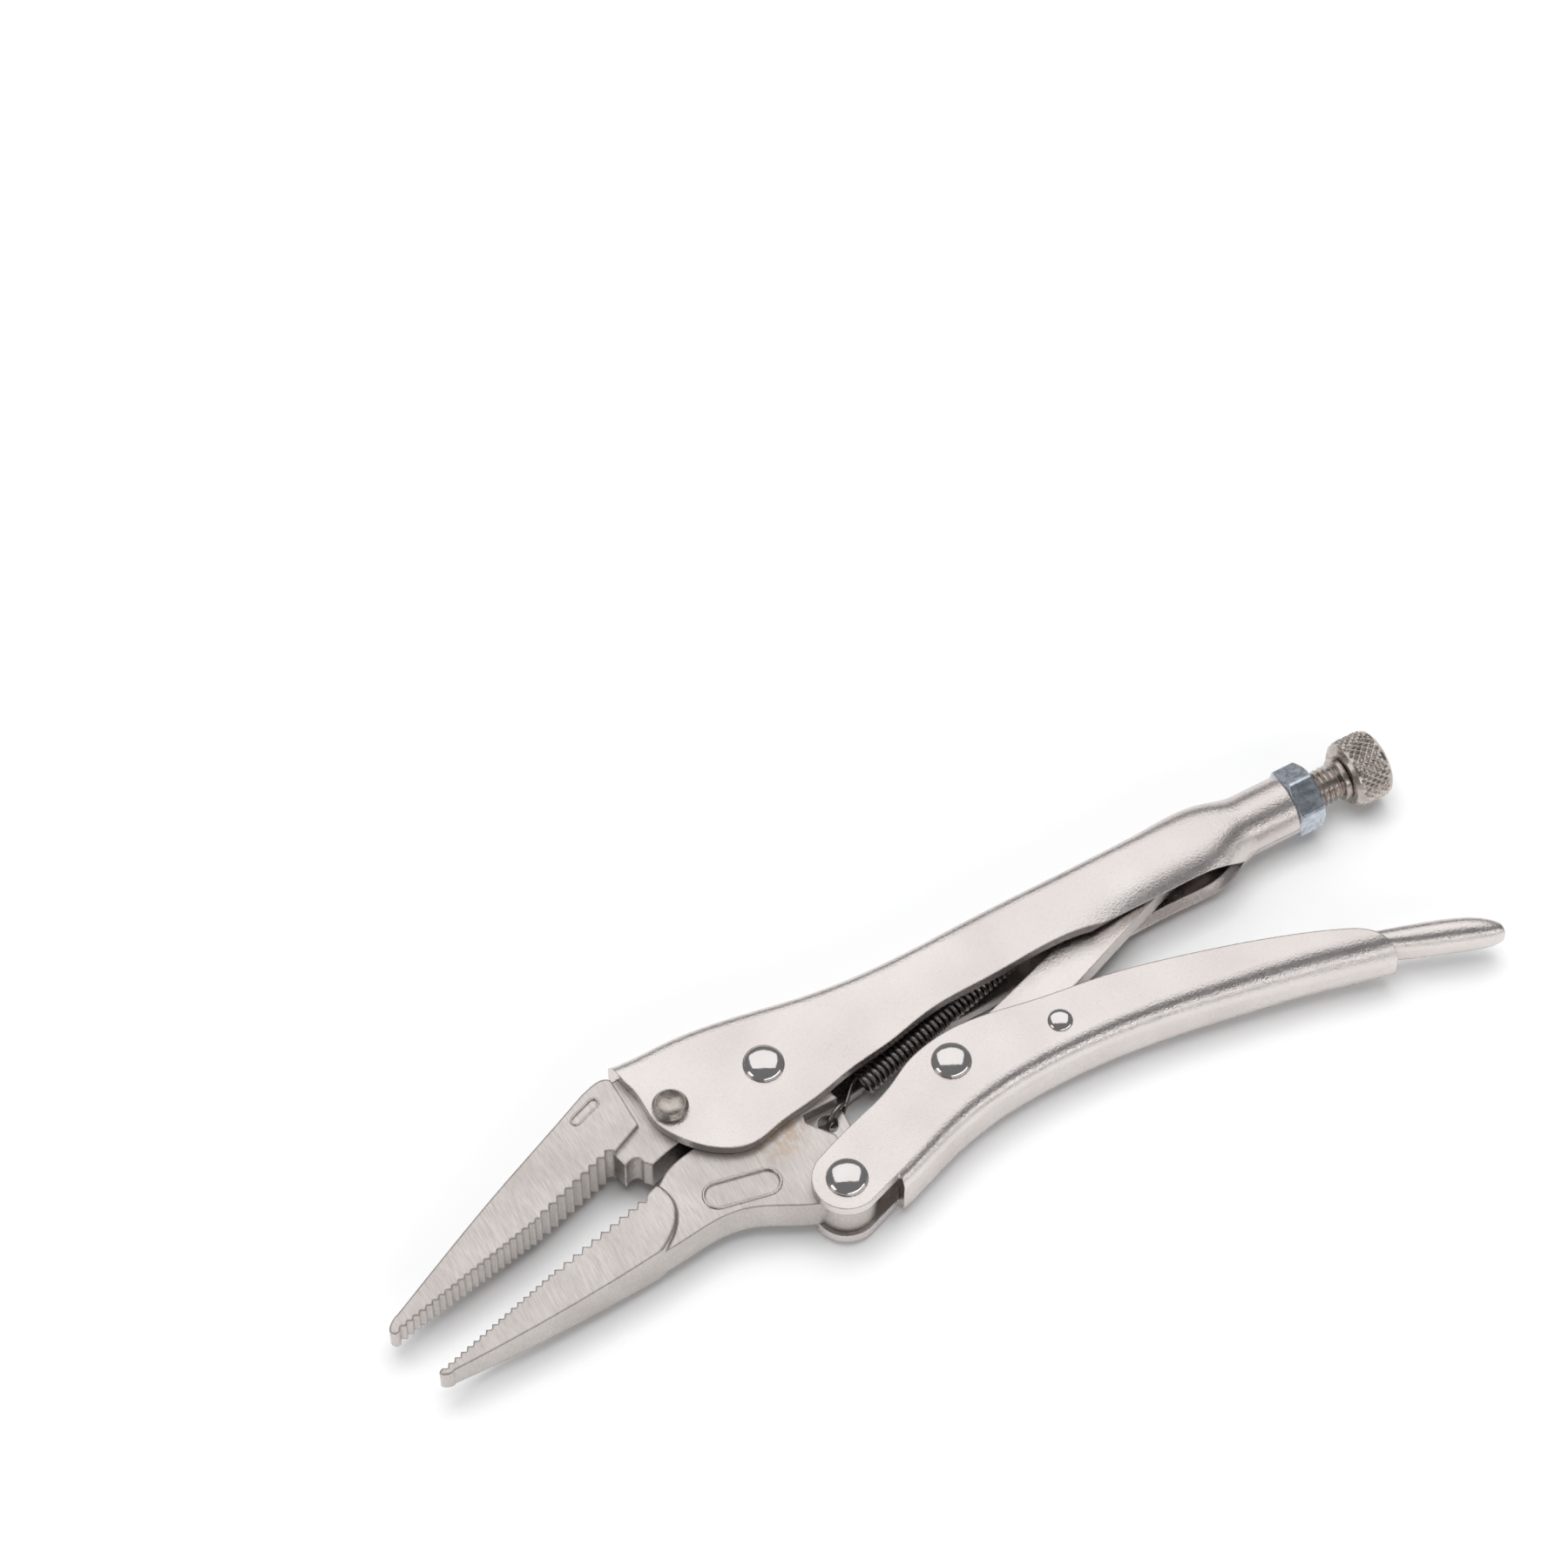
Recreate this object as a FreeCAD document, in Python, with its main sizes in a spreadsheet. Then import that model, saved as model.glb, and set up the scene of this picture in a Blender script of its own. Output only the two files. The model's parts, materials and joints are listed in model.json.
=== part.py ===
"""Locking pliers with a long nose, as separate pieces that move on their rivets.

Design frame, in millimetres: the origin is the main jaw pivot on the mid-plane, +X runs from the
jaws to the adjusting screw, +Y to the back of the fixed handle, +Z across the thickness. Every
sub-part's Placement then moves it so that the tool lies on z = 0 with its box centred.
"""
import FreeCAD
import Part
import Sketcher
import math
import os
from FreeCAD import Vector

SIZES = [
    ("lie_x", -28.69, "placement of every sub-part"),
    ("lie_y", 14.938, "placement of every sub-part"),
    ("lie_z", 8.8, "placement of every sub-part: the rivet heads touch z = 0"),
    ("sheet_thick", 2.5, "pressed steel of both handles"),
    ("handle_half", 6.9, "half the width over a handle's walls"),
    ("lug_wide", 8.6, "jaw thickness between the handle walls"),
    ("nose_wide", 11.2, "jaw thickness at the root of the nose"),
    ("tip_wide", 5.2, "jaw thickness at the tip"),
    ("step_edge", 1.0, "rounding of the step between the nose and the shank"),
    ("running_gap", 0.05, "radial clearance of every pivot"),
    ("jaw_pivot_x", 0.0, "main pivot: fixed handle to movable jaw"),
    ("jaw_pivot_y", 0.0, "main pivot: fixed handle to movable jaw"),
    ("fixed_pin_x", -21.1, "pin through the fixed jaw's tongue"),
    ("fixed_pin_y", 0.5, "pin through the fixed jaw's tongue"),
    ("handle_pivot_x", 1.7, "movable jaw to lower handle"),
    ("handle_pivot_y", -30.8, "movable jaw to lower handle"),
    ("link_pivot_x", 33.2, "toggle link to lower handle"),
    ("link_pivot_y", -18.0, "toggle link to lower handle"),
    ("lever_pivot_x", 57.1, "release lever to lower handle"),
    ("lever_pivot_y", -20.7, "release lever to lower handle"),
    ("jaw_pivot_shank", 3.0, "radius"),
    ("fixed_pin_shank", 2.6, "radius"),
    ("handle_pivot_shank", 3.0, "radius"),
    ("link_pivot_shank", 2.8, "radius"),
    ("lever_pivot_shank", 1.7, "radius"),
    ("big_head", 4.3, "head radius of the three large rivets"),
    ("link_head", 4.15, "head radius of the link rivet"),
    ("pin_head", 3.7, "head radius of the dished pin"),
    ("lever_head", 2.6, "head radius of the small rivet"),
    ("head_high", 1.9, "height of a rivet head over the wall"),
    ("lever_head_high", 1.1, "height of the small head over the wall"),
    ("screw_y", 3.9, "axis of the adjusting screw"),
    ("screw_radius", 4.0, "M8"),
    ("screw_tip_x", 106.0, "inner end of the screw"),
    ("neck_start", 116.0, "start of the rolled neck"),
    ("neck_end", 126.4, "end face of the fixed handle"),
    ("neck_radius", 6.55, "rolled neck round the screw"),
    ("nut_x", 126.5, "near face of the lock nut"),
    ("nut_flats", 13.0, "across flats, M8"),
    ("nut_high", 6.5, "M8"),
    ("boss_x", 139.3, "shoulder of the screw"),
    ("boss_radius", 4.75, "shoulder of the screw"),
    ("knob_x", 140.8, "inner face of the knob"),
    ("knob_radius", 7.5, "over the knurl"),
    ("knob_long", 8.8, "length of the knob"),
    ("stub_radius", 2.5, "end of the screw inside the knob"),
    ("link_wide", 4.8, "thickness of the toggle link"),
    ("lever_wide", 8.0, "width over the release lever's walls"),
    ("lever_sheet", 1.8, "sheet of the release lever"),
    ("tab_wide", 2.4, "thickness of the jaw's spring tab"),
    ("tab_hole", 2.0, "radius of the hole in the spring tab"),
    ("tab_hole_x", 6.0, "hole in the spring tab"),
    ("tab_hole_y", -15.7, "hole in the spring tab"),
    ("wire_radius", 0.5, "spring wire"),
    ("coil_radius", 2.65, "outer radius of the spring"),
    ("coil_start_x", 16.4, "jaw end of the coil"),
    ("coil_start_y", -10.8, "jaw end of the coil"),
    ("coil_long", 46.0, "length of the coil"),
    ("coil_tilt", 15.0, "degrees that the coil rises towards the screw"),
    ("hook_tab_x", 66.0, "tab in the fixed handle that holds the spring"),
    ("hook_tab_wide", 3.2, "tab in the fixed handle that holds the spring"),
    ("hook_eye_y", 2.9, "hole in that tab"),
    ("ear_radius", 7.1, "ears of the lower handle round their rivet"),
]

doc = FreeCAD.newDocument("LockingPliers")
sheet = doc.addObject("Spreadsheet::Sheet", "sizes")
for row, (alias, value, note) in enumerate(SIZES, 1):
    sheet.set(f"A{row}", note)
    sheet.set(f"B{row}", str(value))
    sheet.setAlias(f"B{row}", alias)
doc.recompute()


def size(alias):
    """The value of one cell."""
    return float(getattr(sheet, alias))


# ---------------------------------------------------------------- helpers


def new_body(label):
    """A sub-part, laid down by its Placement."""
    body = doc.addObject("PartDesign::Body", label)
    body.Label = label
    for axis in "xyz":
        body.setExpression(f"Placement.Base.{axis}", f"sizes.lie_{axis}")
    return body


def sketch_on(body, plane, offset=None):
    """A sketch on one of the body's own planes, moved along its normal by an expression."""
    sketch = body.newObject("Sketcher::SketchObject", "sketch")
    support = next(o for o in body.Origin.OriginFeatures if o.Role == plane)
    sketch.AttachmentSupport = [(support, "")]
    sketch.MapMode = "FlatFace"
    if offset is not None:
        sketch.setExpression("AttachmentOffset.Base.z", offset)
    return sketch


def outline(sketch, start, *runs):
    """A closed outline: a run of one point is a straight edge, a longer one a smooth curve."""
    first = sketch.GeometryCount
    corner = Vector(*start, 0)
    begin = corner
    for run in runs:
        points = [corner] + [Vector(x, y, 0) for x, y in run]
        if len(run) == 1:
            edge = Part.LineSegment(*points)
        else:
            edge = Part.BSplineCurve()
            edge.interpolate(points)
        sketch.addGeometry(edge, False)
        corner = points[-1]
    if corner.distanceToPoint(begin) > 1e-6:
        sketch.addGeometry(Part.LineSegment(corner, begin), False)
    last = sketch.GeometryCount - 1
    for index in range(first, last):
        sketch.addConstraint(Sketcher.Constraint("Coincident", index, 2, index + 1, 1))
    sketch.addConstraint(Sketcher.Constraint("Coincident", last, 2, first, 1))


def circle(sketch, x, y, radius):
    """A circle whose centre and radius are expressions."""
    index = sketch.addGeometry(Part.Circle(Vector(1, 1, 0), Vector(0, 0, 1), 1.0), False)
    for kind, where, value in (
        ("Radius", (index,), radius),
        ("DistanceX", (-1, 1, index, 3), x),
        ("DistanceY", (-1, 1, index, 3), y),
    ):
        number = sketch.addConstraint(Sketcher.Constraint(kind, *where, 1.0))
        sketch.setExpression(f"Constraints[{number}]", value)


def pad(body, sketch, length, centred=True):
    """Material of one thickness, either side of the sketch or on its positive side."""
    feature = body.newObject("PartDesign::Pad", "pad")
    feature.Profile = sketch
    feature.SideType = "Symmetric" if centred else "One side"
    feature.setExpression("Length", length)
    doc.recompute()
    return feature


def cut_through(body, sketch):
    """A cut right through the body, both ways from the sketch."""
    before = body.Shape.Volume
    feature = body.newObject("PartDesign::Pocket", "cut")
    feature.Profile = sketch
    feature.SideType = "Symmetric"
    feature.setExpression("Length", "4 * sizes.neck_end")
    doc.recompute()
    if not feature.Shape.Volume < before - 0.01:
        raise RuntimeError(f"{body.Label}: a cut removed nothing")
    return feature


def cut_one_way(body, sketch, length):
    """A cut from the sketch against its normal."""
    before = body.Shape.Volume
    feature = body.newObject("PartDesign::Pocket", "bore")
    feature.Profile = sketch
    feature.setExpression("Length", length)
    doc.recompute()
    if not feature.Shape.Volume < before - 0.01:
        raise RuntimeError(f"{body.Label}: a cut removed nothing")


def pivot_hole(body, pivot):
    """The hole for one rivet, with running clearance."""
    sketch = sketch_on(body, "XY_Plane")
    circle(sketch, f"sizes.{pivot}_x", f"sizes.{pivot}_y", f"sizes.{pivot}_shank + sizes.running_gap")
    cut_through(body, sketch)


def arc_point(centre, radius, degrees):
    """A point on a circle in the side view."""
    angle = math.radians(degrees)
    return (centre[0] + radius * math.cos(angle), centre[1] + radius * math.sin(angle))


def arc_run(centre, radius, start, end, steps=8):
    """Points along an arc in the side view, without its first point."""
    return [arc_point(centre, radius, start + (end - start) * i / steps) for i in range(1, steps + 1)]


# ---------------------------------------------------------------- pressed handles


def channel_section(sketch, up, half, back, corner, curl_from, curl_long, curl_turn, thick):
    """Draws the section of a folded sheet across X, in the sketch's (y, z).

    half: half width; back: the web's outer face; corner: its outer bend radius; curl_from: where
    each wall starts to curl inwards; curl_long: the length of that curl; curl_turn: how many
    degrees it turns; up: +1 when the web is on the +Y side.
    """

    def side(z_sign, inset):
        radius = max(corner - inset, 0.4)
        turn = math.radians(max(curl_turn, 0.05))
        bend = curl_long / turn
        curl = bend - inset
        wall = half - inset
        reach = 4 / 3 * math.tan(turn / 4) * curl
        lip_z = half - bend + curl * math.cos(turn)
        lip_y = curl_from - up * curl * math.sin(turn)
        lip = [
            (curl_from, wall),
            (curl_from - up * reach, wall),
            (lip_y + up * reach * math.cos(turn), lip_z + reach * math.sin(turn)),
            (lip_y, lip_z),
        ]
        top = back - up * inset
        hold = 0.5523 * radius
        bend_start = top - up * radius
        fold = [
            (bend_start, wall),
            (bend_start + up * hold, wall),
            (top, wall - radius + hold),
            (top, wall - radius),
        ]
        return [[(y, z_sign * z) for y, z in points] for points in (lip, fold)]

    def bezier(points):
        curve = Part.BezierCurve()
        curve.setPoles([Vector(y, z, 0) for y, z in points])
        return curve.toBSpline()

    def line(a, b):
        return Part.LineSegment(Vector(*a, 0), Vector(*b, 0))

    lip_out, fold_out = side(1, 0)
    lip_back, fold_back = side(-1, 0)
    lip_in, fold_in = side(1, thick)
    lip_far, fold_far = side(-1, thick)
    edges = [
        bezier(lip_out[::-1]),
        line(lip_out[0], fold_out[0]),
        bezier(fold_out),
        line(fold_out[3], fold_back[3]),
        bezier(fold_back[::-1]),
        line(fold_back[0], lip_back[0]),
        bezier(lip_back),
        line(lip_back[3], lip_far[3]),
        bezier(lip_far[::-1]),
        line(lip_far[0], fold_far[0]),
        bezier(fold_far),
        line(fold_far[3], fold_in[3]),
        bezier(fold_in[::-1]),
        line(fold_in[0], lip_in[0]),
        bezier(lip_in),
        line(lip_in[3], lip_out[3]),
    ]
    for edge in edges:
        sketch.addGeometry(edge, False)
    for index in range(len(edges)):
        following = (index + 1) % len(edges)
        sketch.addConstraint(Sketcher.Constraint("Coincident", index, 2, following, 1))


def channel(body, up, stations):
    """A folded sheet lofted through its sections, each (x, half, back, corner, from, long, turn, thick)."""
    sketches = []
    for station, *section in stations:
        sketch = sketch_on(body, "YZ_Plane")
        sketch.AttachmentOffset = FreeCAD.Placement(Vector(0, 0, station), FreeCAD.Rotation())
        channel_section(sketch, up, *section)
        sketches.append(sketch)
    doc.recompute()
    loft = body.newObject("PartDesign::AdditiveLoft", "channel")
    loft.Profile = sketches[0]
    loft.Sections = [(sketch, [""]) for sketch in sketches[1:]]
    loft.Ruled = False
    doc.recompute()
    return loft


def fixed_handle():
    """The upper handle: an open channel whose end is rolled into a tube round the screw."""
    body = new_body("fixed_handle")
    half = size("handle_half")
    thick = size("sheet_thick")
    neck = size("neck_radius")
    axis = size("screw_y")
    rolled = (neck, axis + neck, neck - 0.05, axis, neck * math.radians(88.9), 88.9, thick)
    stations = [
        (-28.0, half, 15.7, 3.0, -8.0, 8.0, 0, thick),
        (-15.0, half, 15.2, 3.0, -8.0, 8.0, 0, thick),
        (0.0, half, 13.65, 3.0, -8.0, 8.0, 0, thick),
        (15.0, half, 10.95, 3.0, -5.0, 7.0, 0, thick),
        (30.0, half, 9.65, 3.0, -2.0, 6.5, 0, thick),
        (45.0, half, 9.8, 3.0, 0.5, 6.0, 0, thick),
        (62.0, half, 10.25, 3.0, 1.0, 6.0, 2, thick),
        (76.0, half, 10.35, 3.0, 1.0, 6.0, 14, thick),
        (86.0, half, 10.6, 3.2, 1.0, 6.0, 29, thick),
        (95.0, 7.05, 11.1, 4.0, 1.0, 6.0, 35, thick),
        (102.5, 7.4, 11.8, 5.2, 1.0, 6.2, 39, thick),
        (107.0, 7.35, 11.7, 5.5, 1.6, 7.4, 52, thick),
        (111.5, 6.95, 11.1, 5.9, 2.9, 10.2, 84, thick),
        (size("neck_start"), *rolled),
    ]
    channel(body, 1, stations)
    tube = sketch_on(body, "YZ_Plane", "sizes.neck_start")
    channel_section(tube, 1, *rolled)
    pad(body, tube, "sizes.neck_end - sizes.neck_start", centred=False)
    trim = sketch_on(body, "XY_Plane")
    front_and_lower_edge = [
        (-25.5, 4.0),
        (-25.4, -0.5),
        (-23.4, -5.4),
        (-17.4, -12.1),
        (-10.7, -14.7),
        (-3.6, -13.3),
        (5.0, -11.9),
        (15.0, -9.5),
        (25.0, -7.9),
        (35.0, -5.6),
        (50.0, -4.7),
        (70.0, -3.9),
        (79.5, -5.6),
    ]
    outline(trim, (-40, 25), [(-27.4, 25)], [(-27.2, 15.6)], [(-26.3, 10)], front_and_lower_edge,
            [(79.5, -40)], [(-40, -40)])
    cut_through(body, trim)
    window = sketch_on(body, "XZ_Plane")
    outline(window, (62, -1.6), [(66, -1.6)], [(66, 1.6)], [(62, 1.6)])
    cut_one_way(body, window, "sizes.neck_end")
    tab = sketch_on(body, "XY_Plane")
    outline(tab, (66.0, 8.6), [(67.8, 8.6)], [(67.8, 1.4)], [(66.0, 1.4)])
    pad(body, tab, "sizes.hook_tab_wide")
    eye = sketch_on(body, "YZ_Plane", "sizes.hook_tab_x + sizes.sheet_thick")
    circle(eye, "sizes.hook_eye_y", "0", "sizes.wire_radius + 0.35")
    cut_one_way(body, eye, "2 * sizes.sheet_thick")
    for pivot in ("jaw_pivot", "fixed_pin"):
        pivot_hole(body, pivot)


def lower_handle():
    """The moving handle: an open channel with two ears round the jaw's rivet."""
    body = new_body("lower_handle")
    half = size("handle_half")
    thick = size("sheet_thick")
    stations = [
        (11.3, half, -37.2, 3.0, -16.0, 8.0, 0, thick),
        (19.0, half, -34.7, 3.3, -16.0, 8.0, 0, thick),
        (28.0, half, -31.6, 3.5, -16.0, 8.0, 0, thick),
        (39.0, half, -29.2, 3.5, -16.0, 8.0, 0, thick),
        (52.0, half, -28.3, 3.5, -17.0, 7.0, 0, thick),
        (66.0, half, -28.8, 3.7, -20.0, 6.0, 0, thick),
        (80.0, half, -30.5, 4.0, -22.5, 6.0, 0, thick),
        (95.0, half, -33.3, 4.6, -26.0, 6.0, 2, thick),
        (111.0, half, -36.8, 5.4, -30.0, 6.0, 8, thick),
        (126.5, half, -40.7, 6.0, -34.5, 6.0, 14, thick),
    ]
    channel(body, -1, stations)
    trim = sketch_on(body, "XY_Plane")
    upper_edge = [
        (15.0, -18.8),
        (20.0, -16.7),
        (25.0, -14.0),
        (30.0, -12.4),
        (37.0, -11.5),
        (45.0, -12.1),
        (55.0, -13.9),
        (70.0, -16.0),
        (90.0, -20.7),
        (108.0, -26.3),
        (118.0, -30.4),
        (122.8, -33.2),
        (125.2, -36.6),
        (125.6, -42.5),
    ]
    outline(trim, (9, -20.6), upper_edge, [(140, -42.5)], [(140, 0)], [(9, 0)])
    cut_through(body, trim)
    pivot = (size("handle_pivot_x"), size("handle_pivot_y"))
    round_ear = arc_run(pivot, size("ear_radius"), 108, 282)
    for offset in ("sizes.handle_half - sizes.sheet_thick", "-sizes.handle_half"):
        ear = sketch_on(body, "XY_Plane", offset)
        outline(ear, arc_point(pivot, size("ear_radius"), 108), round_ear, [(11.2, -34.9)],
                [(16.0, -33.0)], [(16.0, -18.38)], [(15.0, -18.8)],
                [(9.0, -20.6), (3.5, -22.5), arc_point(pivot, size("ear_radius"), 108)])
        pad(body, ear, "sizes.sheet_thick", centred=False)
    for name in ("handle_pivot", "link_pivot", "lever_pivot"):
        pivot_hole(body, name)


# ---------------------------------------------------------------- jaws


def tooth_run(start, end, count, deep, side):
    """V-shaped teeth between two points: their roots lie to one side of the line between them."""
    along = Vector(end[0] - start[0], end[1] - start[1], 0)
    inward = Vector(-along.y, along.x, 0).normalize() * deep * side
    points = []
    for tooth in range(count):
        root = Vector(*start, 0) + along * ((tooth + 0.5) / count) + inward
        tip = Vector(*start, 0) + along * ((tooth + 1) / count)
        points += [[(root.x, root.y)], [(tip.x, tip.y)]]
    return points


def taper_nose(body, tip_x, root_x):
    """Grinds both sides of a nose so that it thins towards its tip."""
    for sign in (1, -1):
        sides = sketch_on(body, "XZ_Plane")
        tip = sign * size("tip_wide") / 2
        root = sign * size("nose_wide") / 2
        outline(sides, (tip_x, tip), [(root_x, root)], [(root_x, 2 * root)], [(tip_x, 2 * root)])
        cut_through(body, sides)


def thin_down(body, half, start, *runs, both=True):
    """Takes the material beyond a half thickness off an area of the side view."""
    before = body.Shape.Volume
    for sign in ("", "-")[: 2 if both else 1]:
        area = sketch_on(body, "XY_Plane", f"{sign}({half})")
        outline(area, start, *runs)
        feature = body.newObject("PartDesign::Pocket", "step")
        feature.Profile = area
        feature.Reversed = sign == ""
        feature.setExpression("Length", "sizes.nose_wide")
        doc.recompute()
    if not body.Shape.Volume < before - 0.01:
        raise RuntimeError(f"{body.Label}: a step removed nothing")


def ease(body, radius, wanted):
    """Rounds the edges that a test on their middle point and length picks out."""
    base = body.Tip
    names = []
    for number, edge in enumerate(base.Shape.Edges, 1):
        middle = edge.valueAt((edge.FirstParameter + edge.LastParameter) / 2)
        if wanted(middle, edge.Length):
            names.append(f"Edge{number}")
    fillet = body.newObject("PartDesign::Fillet", "eased")
    fillet.Base = (base, names)
    fillet.setExpression("Radius", radius)
    doc.recompute()
    if {"Invalid", "Error"} & set(fillet.State) or not fillet.Shape.isValid():
        raise RuntimeError(f"{body.Label}: the edges {names} did not round")


def badge_recess(body, half, centre, long, wide, tilt):
    """A shallow stamped panel with round ends, on the near side only."""
    turn = FreeCAD.Rotation(Vector(0, 0, 1), tilt)
    reach = long / 2 - wide / 2

    def place(x, y):
        point = Vector(*centre, 0) + turn.multVec(Vector(x, y, 0))
        return (point.x, point.y)

    right = [place(reach + wide / 2 * math.sin(a), -wide / 2 * math.cos(a))
             for a in (math.pi * i / 6 for i in range(1, 7))]
    left = [place(-reach - wide / 2 * math.sin(a), wide / 2 * math.cos(a))
            for a in (math.pi * i / 6 for i in range(1, 7))]
    thin_down(body, half, place(-reach, -wide / 2), [place(reach, -wide / 2)], right,
              [place(-reach, wide / 2)], left, both=False)


def fixed_jaw():
    """The upper jaw: a tapered nose with fine and coarse teeth, a cutter and a tongue."""
    body = new_body("fixed_jaw")
    side = sketch_on(body, "XY_Plane")
    fine = tooth_run((-90.5, -15.3), (-55.0, -7.9), 22, 0.75, 1)
    coarse = tooth_run((-55.0, -7.9), (-35.5, -1.9), 9, 1.1, 1)
    lug_clear = arc_run((0, 0), 7.6, 218, 119)
    outline(
        side,
        (-90.5, -15.3),
        *fine,
        *coarse,
        [(-34.7, -5.6)],
        [(-33.6, -5.0), (-32.4, -4.9), (-31.4, -5.5), (-31.2, -6.6)],
        [(-29.9, -8.0)],
        [(-24.0, -6.3), (-18.0, -5.2), (-11.0, -5.0), arc_point((0, 0), 7.6, 218)],
        lug_clear,
        [(-3.7, 10.9)],
        [(-9.0, 11.7), (-15.0, 12.15), (-22.0, 12.45), (-28.4, 12.6)],
        [(-29.5, 13.3), (-31.0, 13.4), (-34.7, 12.4)],
        [(-39.7, 10.2), (-59.5, 1.9), (-79.4, -7.2), (-89.3, -11.9)],
        [(-91.6, -13.3), (-92.2, -14.6), (-91.6, -15.4), (-90.5, -15.3)],
    )
    pad(body, side, "sizes.nose_wide")
    taper_nose(body, -93.0, -38.0)
    thin_down(body, "sizes.lug_wide / 2", (-28.3, 20), [(-28.3, 0.9)], [(-36.0, -2.6)], [(-36.0, -20)],
              [(5, -20)], [(5, 20)])
    badge_recess(body, "sizes.nose_wide / 2 - 0.3", (-36.2, 8.7), 7.0, 1.8, 20)
    pivot_hole(body, "fixed_pin")


def movable_jaw():
    """The lower jaw: nose, cutter, shank, the lug round the main pivot and a tab for the spring."""
    body = new_body("movable_jaw")
    side = sketch_on(body, "XY_Plane")
    pivot = (size("handle_pivot_x"), size("handle_pivot_y"))
    fine = tooth_run((-87.0, -26.6), (-58.0, -19.1), 18, 0.75, -1)
    coarse = tooth_run((-58.0, -19.1), (-34.4, -14.0), 10, 1.1, -1)
    outline(
        side,
        (-87.0, -26.6),
        *fine,
        *coarse,
        [(-31.3, -12.9)],
        [(-28.5, -10.9)],
        [(-21.4, -8.9), (-14.0, -8.3), (-9.0, -7.3), arc_point((0, 0), 6.8, 218)],
        arc_run((0, 0), 6.8, 218, -20, steps=12),
        [(8.3, -8.0), (9.9, -14.0), (9.8, -18.2)],
        [(8.0, -20.4), (6.9, -23.0), (6.9, -25.5), arc_point(pivot, 6.2, 22)],
        arc_run(pivot, 6.2, 22, -165, steps=10),
        [(-8.3, -30.7), (-13.3, -28.0), (-18.3, -25.9), (-23.4, -25.2), (-29.4, -25.6), (-37.6, -26.4)],
        [(-57.5, -27.8), (-85.2, -28.2)],
        [(-87.0, -28.2), (-87.9, -27.4), (-87.0, -26.6)],
    )
    pad(body, side, "sizes.nose_wide")
    taper_nose(body, -89.0, -38.0)
    thin_down(body, "sizes.lug_wide / 2", (-31.3, 10), [(-31.3, -12.7)],
              [(-30.4, -15.0), (-30.2, -18.0), (-31.6, -21.5), (-35.0, -25.0), (-41.0, -28.4)],
              [(-41.0, -40)], [(15, -40)], [(15, 10)])
    ease(body, "sizes.step_edge", lambda at, long: abs(at.z) > 5.5 and long > 12 and -33 < at.x < -29)
    thin_down(body, "sizes.tab_wide / 2", (1.8, -12.8), [(1.4, -14.7)], [(5.3, -20.0)], [(5.3, -21.6)],
              [(13, -21.6)], [(13, -12.8)])
    badge_recess(body, "sizes.lug_wide / 2 - 0.35", (-16.9, -21.4), 15.5, 5.4, -12)
    eye = sketch_on(body, "XY_Plane")
    circle(eye, "sizes.tab_hole_x", "sizes.tab_hole_y", "sizes.tab_hole")
    cut_through(body, eye)
    pivot_hole(body, "jaw_pivot")
    pivot_hole(body, "handle_pivot")


# ---------------------------------------------------------------- links and levers


def toggle_link():
    """The flat bar from the lower handle to the end of the screw."""
    body = new_body("toggle_link")
    side = sketch_on(body, "XY_Plane")
    pivot = (size("link_pivot_x"), size("link_pivot_y"))
    end = (99.9, 3.0)
    outline(
        side,
        arc_point(pivot, 5.2, 100),
        arc_run(pivot, 5.2, 100, 285),
        [(48.0, -18.9), (65.5, -12.9), (88.6, -4.1), arc_point(end, 3.0, -70)],
        arc_run(end, 3.0, -70, 105),
        [(80.0, 0.6), (60.0, -5.6), (45.0, -10.4), arc_point(pivot, 5.2, 100)],
    )
    pad(body, side, "sizes.link_wide")
    pivot_hole(body, "link_pivot")


def rounded_bar(body, stations):
    """A solid bar lofted through rounded sections, each (x, top, bottom, half width, corner)."""
    sketches = []
    for station, top, bottom, half, corner in stations:
        sketch = sketch_on(body, "YZ_Plane")
        sketch.AttachmentOffset = FreeCAD.Placement(Vector(0, 0, station), FreeCAD.Rotation())
        centres = [
            (top - corner, half - corner),
            (bottom + corner, half - corner),
            (bottom + corner, corner - half),
            (top - corner, corner - half),
        ]
        runs = []
        for index, centre in enumerate(centres):
            runs.append([arc_point(centre, corner, 90 * index)])
            runs.append(arc_run(centre, corner, 90 * index, 90 * index + 90, steps=4))
        outline(sketch, runs[0][0], *runs[1:])
        sketches.append(sketch)
    doc.recompute()
    loft = body.newObject("PartDesign::AdditiveLoft", "bar")
    loft.Profile = sketches[0]
    loft.Sections = [(sketch, [""]) for sketch in sketches[1:]]
    loft.Ruled = False
    doc.recompute()


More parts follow.
